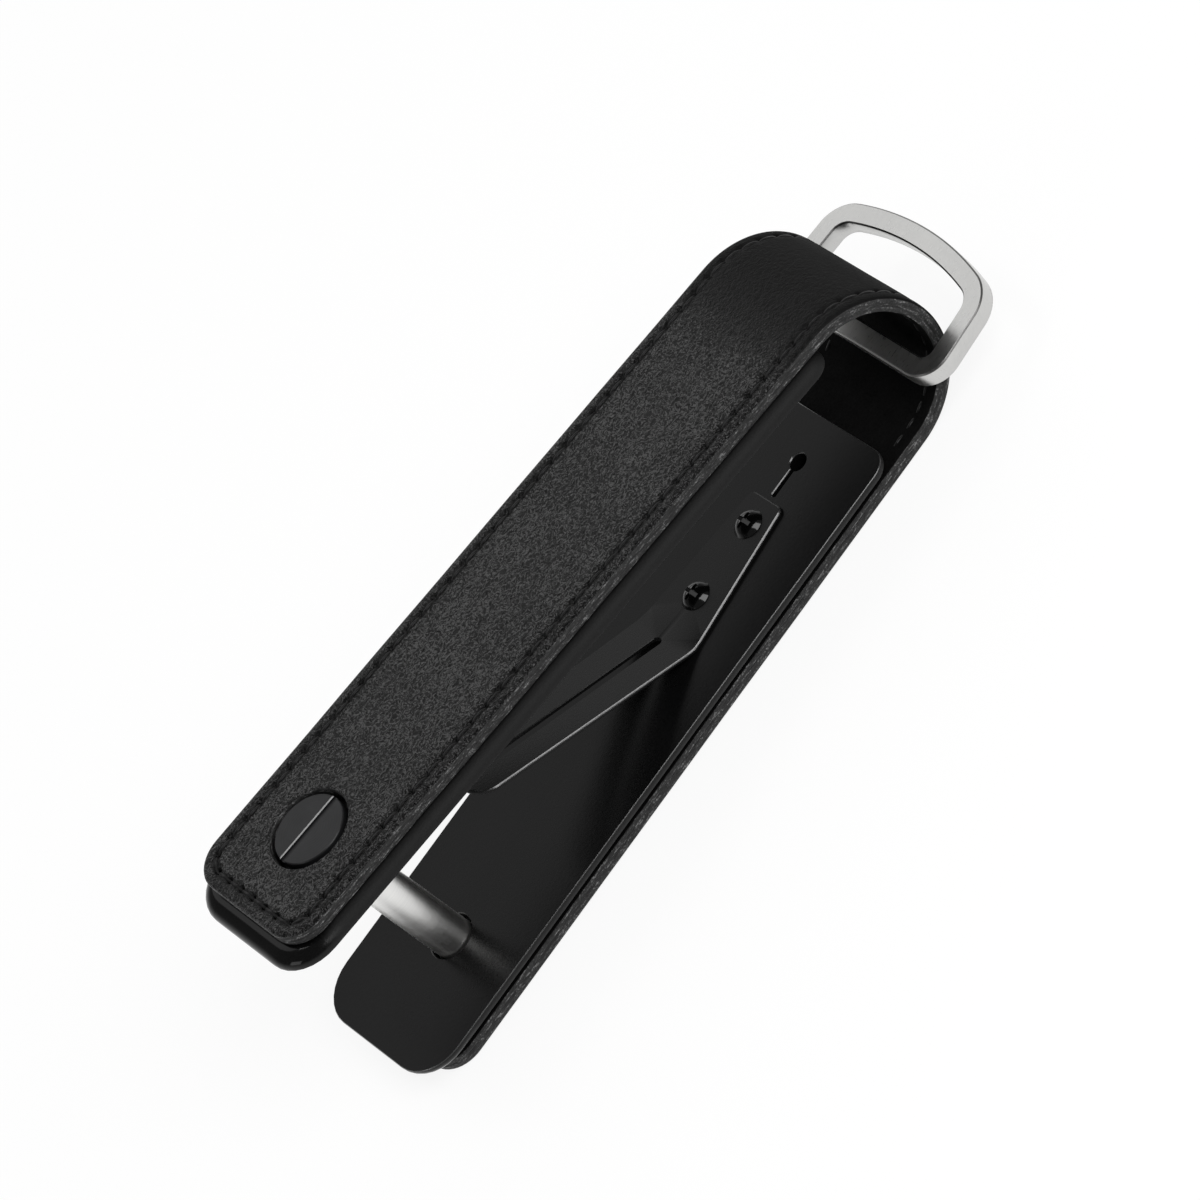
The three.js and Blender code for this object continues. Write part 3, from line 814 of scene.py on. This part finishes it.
def give_nodes(piece, tree, **inputs):
    """Adds the tree as a modifier and sets its inputs by their identifiers."""
    modifier = piece.modifiers.new(tree.name, "NODES")
    modifier.node_group = tree
    for item in tree.interface.items_tree:
        if item.item_type == "SOCKET" and item.in_out == "INPUT" and item.name in inputs:
            modifier[item.identifier] = inputs[item.name]


def settle(piece):
    """Turns what the modifiers make into the piece's own mesh."""
    depsgraph = bpy.context.evaluated_depsgraph_get()
    shown = piece.evaluated_get(depsgraph)
    made = bpy.data.meshes.new_from_object(shown, preserve_all_data_layers=True, depsgraph=depsgraph)
    piece.modifiers.clear()
    piece.data = made


# %% Stitches
SEAM_STEP = 0.3
BARE_LINING = 3.2
SEWN_SIZES = dict(Length=pitch * 0.94 * MM, Thickness=0.45 * MM, Crown=0.34 * MM, Dive=0.42 * MM)


def stitch_points(name, places, level, outward):
    """Points for the stitches, each with the directions along the seam and out of the leather."""
    here, along, up = [], [], []
    for s, v, ds, dv in places:
        here.append(bent(s, v, level))
        before = bent(s - SEAM_STEP * ds, v - SEAM_STEP * dv, level)
        after = bent(s + SEAM_STEP * ds, v + SEAM_STEP * dv, level)
        along.append((after - before).normalized())
        up.append((bent(s, v, level + outward) - here[-1]).normalized())
    mesh = bpy.data.meshes.new(name)
    mesh.from_pydata(here, [], [])
    for mark, values in (("along", along), ("up", up)):
        stored = mesh.attributes.new(mark, "FLOAT_VECTOR", "POINT")
        stored.data.foreach_set("vector", np.array(values, np.float32).ravel())
    return link_object(name, mesh)


run = np.arange(stitch_count) * pitch
ahead = on_seam(run + SEAM_STEP) - on_seam(run - SEAM_STEP)
places = [(*p, *(d / np.linalg.norm(d))) for p, d in zip(stitches, ahead)]
inner = [p for p in places if ARM - BARE_LINING < p[0] < ARM + BEND + BARE_LINING]
SEWN = stitch_tree()
for name, chosen, level, outward in (
    ("border_stitches", places, HIDE_BACK + channel(STITCH_INSET), 1),
    ("inner_stitches", inner, LINING_FACE, -1),
):
    thread = stitch_points(name, chosen, level, outward)
    give_nodes(thread, SEWN, Thread=THREAD, **SEWN_SIZES)
    settle(thread)
    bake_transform(thread)
    print(name, "faces:", len(thread.data.polygons))

# %% [markdown]
# ## The plates
# Each plate is a flat bar with a crisp edge on its inner face and a rounded shoulder towards the leather.
# The lower plate has the post's hole, the holes of the leaf screws, and a small round hole with a slit
# beyond the leaf's root. A fine chamfer on the crisp edge is worth its faces, because it is what draws the
# bright line along the plate; its lighter coat, partly wear and partly a painted highlight, adds to it.

# %% Plates
PLATE_END, LOWER_RING_END, UPPER_RING_END = -89.3, -4.0, -0.5
PLATE_HALF = 11.7
POST_CORNER, RING_CORNER = 5.6, 2.6
POST_HOLE, SCREW_HOLE, LEAF_SCREW_HOLE = 2.8, 1.8, 1.1
SHOULDER, DROP, LAND = 2.2, 1.5, 0.3
LEAF_BASE = 18.4
BEND_X = POST_X + 41.1
ROOT_X = BEND_X + LEAF_BASE
KEYHOLE_X = ROOT_X + 5.3
LEAF_SCREWS = (ROOT_X - 3.5, ROOT_X - 13.3)
# The chamfers round the inner face and round the holes take the lighter edge coat: partly wear, partly
# painted highlight.
plate_edge = [(0.1, 0, 2), (0.01, -0.09, 1), (0, -0.14, 1), (0, -LAND, 1)]
for k in range(1, 13):
    a = math.pi / 2 * k / 12
    plate_edge.append((SHOULDER * (1 - math.cos(a)), -LAND - DROP * math.sin(a), 1))
drilled = [(0.14, 0, 2), (0.02, -0.12, 0), (0, -0.16, 0), (0, -1.7, 0), (0.1, -1.8, 0)]


def plate_outline(ring_end):
    return rounded_loop(bar(PLATE_END, ring_end, PLATE_HALF, POST_CORNER, RING_CORNER), 1.5)


def keyhole():
    radius, half_slit, ease = 1.1, 0.3, 0.15
    reach = math.asin(half_slit / radius)
    turn = np.linspace(math.pi - reach, -math.pi + reach, 40)
    eye = np.stack((KEYHOLE_X + radius * np.cos(turn), radius * np.sin(turn)), 1)
    end = ROOT_X + 0.6
    slit = [(end + ease, -half_slit), (end, -ease), (end, ease), (end + ease, half_slit)]
    return np.concatenate((eye, slit))


def fit(piece, body, slot, *nodes):
    """Hangs a finished piece on its body and lets it stand for its CAD nodes."""
    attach(piece, body)
    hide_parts(*nodes)
    print(piece.name, "triangles:", triangles(piece))


lower_holes = [round_hole(POST_X, 0, POST_HOLE, 64), keyhole()]
lower_holes += [round_hole(x, 0, LEAF_SCREW_HOLE, 28) for x in LEAF_SCREWS]
lower_plate, _ = sheet(
    "lower_plate_finished",
    [(plate_outline(LOWER_RING_END), plate_edge)] + [(loop, drilled) for loop in lower_holes],
    lambda u, v, level: on_lower_arm(u, v, PLATE_FACE - level),
    [PLATE_COAT, PLATE_SIDE, EDGE_WEAR_AND_HIGHLIGHT],
)
upper_plate, _ = sheet(
    "upper_plate_finished",
    [(plate_outline(UPPER_RING_END), plate_edge), (round_hole(SCREW_X, 0, SCREW_HOLE, 48), drilled)],
    lambda u, v, level: on_upper_arm(u, -v, PLATE_FACE - level),
    [PLATE_COAT, PLATE_SIDE, EDGE_WEAR_AND_HIGHLIGHT],
)
fit(lower_plate, "lower_arm", "plate", "lower_plate")
fit(upper_plate, "upper_arm", "plate", "upper_plate")

# %% [markdown]
# ## The leaf spring
# The leaf is one strip of spring steel: a tapered base under two screws, then a smooth bend and a raised
# tongue with a long slot. It is cut flat with the sheet helper and bent by its place function. When it is
# pressed only the bend flexes.

# %% Leaf
RISE = math.radians(23.6)
BEND_RADIUS = 6.0
TANGENT = BEND_RADIUS * math.tan(RISE / 2)
LEAF_THICK = 0.5
TONGUE = 30.0
TIP_HALF, BEND_HALF, ROOT_HALF = 4.5, 5.2, 3.0
SLOT_FAR, SLOT_NEAR, SLOT_HALF, SLOT_CORNER = -26, -1.4, 0.65, 0.64
near_side = [(-TONGUE, -TIP_HALF, 3.2), (0, -BEND_HALF, 2.0), (LEAF_BASE, -ROOT_HALF, 1.0)]
LEAF = near_side + [(q, -v, radius) for q, v, radius in near_side[::-1]]


def sprung(q, v, level):
    """Puts a point of the flat leaf on its base, in the bend or on the tongue; q runs from the bend."""
    turn = RISE * min(max((TANGENT - q) / (2 * TANGENT), 0), 1)
    if q >= TANGENT:
        x, z = q, 0.0
    elif q <= -TANGENT:
        x, z = q * math.cos(RISE), -q * math.sin(RISE)
    else:
        x, z = TANGENT - BEND_RADIUS * math.sin(turn), BEND_RADIUS * (1 - math.cos(turn))
    return on_lower_arm(BEND_X + x + level * math.sin(turn), v, PLATE_FACE - z - level * math.cos(turn))


slot_loop = rounded_loop(bar(SLOT_FAR, SLOT_NEAR, SLOT_HALF, SLOT_CORNER, SLOT_CORNER), 0.5)[::-1]
# The leaf's upper chamfer takes the lighter edge coat: partly wear, partly painted highlight.
leaf_edge = [(0.18, LEAF_THICK, 1), (0.01, 0.33, 0), (0, 0.3, 0), (0, 0.08, 0), (0.08, 0, 0)]
hole_rim = [(0.1, LEAF_THICK, 0), (0, 0.4, 0), (0, 0.06, 0), (0.06, 0, 0)]
leaf_holes = [slot_loop] + [round_hole(x - BEND_X, 0, LEAF_SCREW_HOLE, 28) for x in LEAF_SCREWS]
leaf_loops = [(rounded_loop(LEAF, 0.35), leaf_edge)] + [(loop, hole_rim) for loop in leaf_holes]
leaf, _ = sheet("leaf_spring", leaf_loops, sprung, [LEAF_COAT, EDGE_WEAR_AND_HIGHLIGHT])
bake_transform(leaf)
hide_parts("leaf_base", "leaf_tongue")
print("leaf triangles:", triangles(leaf))

# %% [markdown]
# ## Turned pieces
# Post, clamp screw and leaf screws are turned parts. A helper spins a profile round an axis; slots and
# crosses are then cut with a Boolean whose cutter is flared at its mouth, because a broken edge is what
# catches the light.


# %% Lathe helper
def turned(name, profile, place, finish, segments=96):
    """Spins (radius, level) points, from the lower pole to the upper one, into a closed body."""
    verts, faces, rings = [], [], []
    for radius, level in profile:
        count = 1 if radius == 0 else segments
        rings.append(range(len(verts), len(verts) + count))
        for k in range(count):
            a = 2 * math.pi * k / segments
            verts.append(place(radius * math.cos(a), radius * math.sin(a), level))
    for low, high in zip(rings, rings[1:]):
        for i in range(segments):
            j = (i + 1) % segments
            corners = [low[i % len(low)], low[j % len(low)], high[j % len(high)], high[i % len(high)]]
            faces.append(list(dict.fromkeys(corners)))
    return mesh_piece(name, verts, faces, [finish])


def eased(points, amount, steps=3):
    """Rounds the corners of a profile given as (radius, level, ease) points."""
    out = []
    for i, (r, z, ease) in enumerate(points):
        at = Vector((r, z))
        if not ease:
            out.append((r, z))
            continue
        a = at + (Vector(points[i - 1][:2]) - at).normalized() * amount
        b = at + (Vector(points[i + 1][:2]) - at).normalized() * amount
        for k in range(steps + 1):
            t = k / steps
            p = a * (1 - t) ** 2 + at * 2 * t * (1 - t) + b * t * t
            out.append((p.x, p.y))
    return out


def cut_slots(piece, slots, level, place, finishes):
    """Cuts (half length, half width, depth) slots down from a level and breaks the edges of their mouths."""
    quads = ((0, 1, 3, 2), (4, 6, 7, 5), (0, 4, 5, 1), (2, 3, 7, 6), (0, 2, 6, 4), (1, 5, 7, 3))
    sides = ((-1, -1), (-1, 1), (1, -1), (1, 1))
    flare = ((0, -0.12), (0.32, 0.2))
    verts, faces, indices = [], [], []
    for x, y, depth in slots:
        straight = ((0, -depth), (0, 1))
        for index, ends in enumerate((straight, flare)):
            first = len(verts)
            verts += [place(i * (x + d), j * (y + d), level + z) for i, j in sides for d, z in ends]
            faces += [[first + k for k in quad] for quad in quads]
            indices += [index] * len(quads)
    cutter = mesh_piece("cutter", verts, faces, finishes, indices)
    cut = piece.modifiers.new("slots", "BOOLEAN")
    cut.object = cutter
    cut.operation = "DIFFERENCE"
    cut.solver = "EXACT"
    cut.use_self = True
    cut.material_mode = "TRANSFER"
    settle(piece)
    bpy.data.objects.remove(cutter)
    shade(piece.data, 32)


# %% Post
POST_RADIUS, FLANGE_RADIUS, BORE_RADIUS = 2.5, 4.5, 1.95
FLANGE_FOOT, FLANGE_TOP = -10.95, -9.4
BORE_DEPTH, BORE_TIP = 9, 10.17
POST_CHAMFER = 0.35


def at_post(x, y, level):
    return on_lower_arm(POST_X + x, y, -level)


post_top = PLATE_FACE / math.cos(SPREAD) - (POST_X + POST_RADIUS) * math.tan(SPREAD) - 0.3
post_profile = eased(
    [
        (0, FLANGE_FOOT, 0),
        (FLANGE_RADIUS, FLANGE_FOOT, 1),
        (FLANGE_RADIUS, FLANGE_TOP, 1),
        (POST_RADIUS, FLANGE_TOP, 0),
        (POST_RADIUS, post_top - POST_CHAMFER, 1),
        (POST_RADIUS - POST_CHAMFER, post_top, 1),
        (BORE_RADIUS, post_top, 0),
        (BORE_RADIUS, post_top - BORE_DEPTH, 0),
        (0, post_top - BORE_TIP, 0),
    ],
    0.12,
)
post = turned("barrel_post_finished", post_profile, at_post, POST_STEEL)
fit(post, "lower_arm", "bright_steel", "barrel_post")

# %% Clamp screw
SHANK_RADIUS, HEAD_RADIUS = 1.5, 4.5
SHANK_TIP, HEAD_FOOT = 4.1, 9.4
SLOT = (6, 0.38, 0.32)


def at_screw(x, y, level):
    return on_upper_arm(SCREW_X + x, y, level)


screw_profile = eased(
    [
        (0, SHANK_TIP, 0),
        (SHANK_RADIUS - 0.4, SHANK_TIP, 0),
        (SHANK_RADIUS, SHANK_TIP + 0.4, 0),
        (SHANK_RADIUS, HEAD_FOOT, 0),
        (HEAD_RADIUS, HEAD_FOOT, 1),
        (HEAD_RADIUS, HIDE_BACK - 0.12, 1),
        (HEAD_RADIUS - 0.12, HIDE_BACK, 0),
        (0, HIDE_BACK, 0),
    ],
    0.08,
)
clamp = turned("clamp_screw_finished", screw_profile, at_screw, HEAD_COAT)
# The slot's flared mouth takes the lighter edge coat: partly wear, partly painted highlight.
cut_slots(clamp, [SLOT], HIDE_BACK, at_screw, [HEAD_COAT, EDGE_WEAR_AND_HIGHLIGHT])
fit(clamp, "screw", "clamp_head", "clamp_screw")

# %% [markdown]
# ## Leaf screws
# Two equal round-headed screws hold the leaf's base. One is turned and cut, and a small Geometry Nodes tree
# sets it on both places, so a change to the screw changes both.

# %% One leaf screw
DOME_RADIUS, CROWN, DOME_STEPS = 1.9, 1.1, 10
CROSS = [(1.05, 0.25, 0.6), (0.25, 1.05, 0.6)]


def upright(x, y, z):
    return Vector((x, y, z)) * MM


sphere = (DOME_RADIUS**2 + CROWN**2) / (2 * CROWN)
sweep = math.asin(DOME_RADIUS / sphere)
dome_profile = [(0, -2.3), (0.9, -2.3), (0.9, 0.0), (1.86, 0.0), (DOME_RADIUS, 0.05)]
for k in range(1, DOME_STEPS):
    a = sweep * (1 - k / DOME_STEPS)
    dome_profile.append((sphere * math.sin(a), CROWN - sphere * (1 - math.cos(a))))
dome_profile.append((0, CROWN))
one_screw = turned("one_leaf_screw", dome_profile, upright, SCREW_COAT, 48)
cut_slots(one_screw, CROSS, CROWN, upright, [SCREW_COAT, SCREW_COAT])
print("triangles of one leaf screw:", triangles(one_screw))


# %% Both leaf screws
def repeat_tree():
    tree = open_tree("Repeated screw", Screw="Object", Scale="Float", Coat="Material")
    given = add_node(tree, "NodeGroupInput").outputs
    shape = add_node(tree, "GeometryNodeObjectInfo", {"Object": given["Screw"]}).outputs["Geometry"]
    copies = {"Points": given["Geometry"], "Instance": shape, "Scale": given["Scale"]}
    placed = add_node(tree, "GeometryNodeInstanceOnPoints", copies).outputs[0]
    real = add_node(tree, "GeometryNodeRealizeInstances", {0: placed}).outputs[0]
    finish = {"Geometry": real, "Material": given["Coat"]}
    coated = add_node(tree, "GeometryNodeSetMaterial", finish).outputs[0]
    add_node(tree, "NodeGroupOutput", {0: coated})
    return tree


screw_mesh = bpy.data.meshes.new("leaf_screws")
screw_mesh.from_pydata([on_lower_arm(x, 0, PLATE_FACE - LEAF_THICK) for x in LEAF_SCREWS], [], [])
leaf_screws = link_object("leaf_screws", screw_mesh)
give_nodes(leaf_screws, repeat_tree(), Screw=one_screw, Scale=1.0, Coat=SCREW_COAT)
settle(leaf_screws)
bpy.data.objects.remove(one_screw)
fit(leaf_screws, "lower_arm", "black_screw", "leaf_screw_ring_side", "leaf_screw_post_side")

# %% [markdown]
# ## The ring
# The ring is cut from thick flat stock: a straight bar lies in the fold, the sides draw in a little and the
# far side is bowed. Outline and window share the centres of their arcs, so the stock keeps one width. Its
# upper edges are dark lines in the photograph, so the edge's profile has chamfers, and the upper ones are
# painted darker: painted shade.

# %% Ring
RING_AT = Vector(joints["ring_swing"]["pos_m"]) / MM
ROLL = math.radians(5)
LEAN = math.radians(4)
STOCK, THICK, DEPTH = 2.5, 2.5, 15.0
HALF_BAR = 11.8
BOW_RADIUS, FAR_RADIUS, NEAR_RADIUS = 37.7, 4.7, 3.75


def ring_loop(inset):
    side = STOCK / 2 * math.sin(LEAN) + HALF_BAR * math.cos(LEAN) + STOCK
    bow_x = -STOCK / 2 + DEPTH - BOW_RADIUS
    spoke = BOW_RADIUS - FAR_RADIUS
    facing = math.pi / 2 - LEAN
    bow = facing - math.acos((side - FAR_RADIUS - bow_x * math.sin(LEAN)) / spoke)
    far_x, far_y = bow_x + spoke * math.cos(bow), spoke * math.sin(bow)
    near_x = -STOCK / 2 + NEAR_RADIUS
    near_y = (side - NEAR_RADIUS - near_x * math.sin(LEAN)) / math.cos(LEAN)
    arcs = [
        (bow_x, 0, BOW_RADIUS, -bow, bow, 40),
        (far_x, far_y, FAR_RADIUS, bow, facing, 14),
        (near_x, near_y, NEAR_RADIUS, facing, math.pi, 16),
        (near_x, -near_y, NEAR_RADIUS, math.pi, 2 * math.pi - facing, 16),
        (far_x, -far_y, FAR_RADIUS, -facing, -bow, 14),
    ]
    points = []
    for x, y, radius, a, b, count in arcs:
        turn = np.linspace(a, b, count, endpoint=radius == NEAR_RADIUS)
        points += [(x + (radius - inset) * math.cos(t), y + (radius - inset) * math.sin(t)) for t in turn]
    return np.array(points)


def hung(u, v, level):
    c, s = math.cos(ROLL), math.sin(ROLL)
    return (RING_AT + Vector((u, v * c - level * s, v * s + level * c))) * MM


half_thick = THICK / 2
# The upper chamfer takes the darker ring steel: painted shade.
ring_edge = [(0.19, half_thick, 1), (0.02, half_thick - 0.17, 0), (0, half_thick - 0.21, 0)]
ring_edge += [(d, -z, finish) for d, z, finish in ring_edge[::-1]]
ring_loops = [(ring_loop(0), ring_edge), (ring_loop(STOCK)[::-1], ring_edge)]
ring, _ = sheet("ring_finished", ring_loops, hung, [RING_STEEL, RING_SHADED_EDGE])
fit(ring, "d_ring", "bright_steel", "ring")
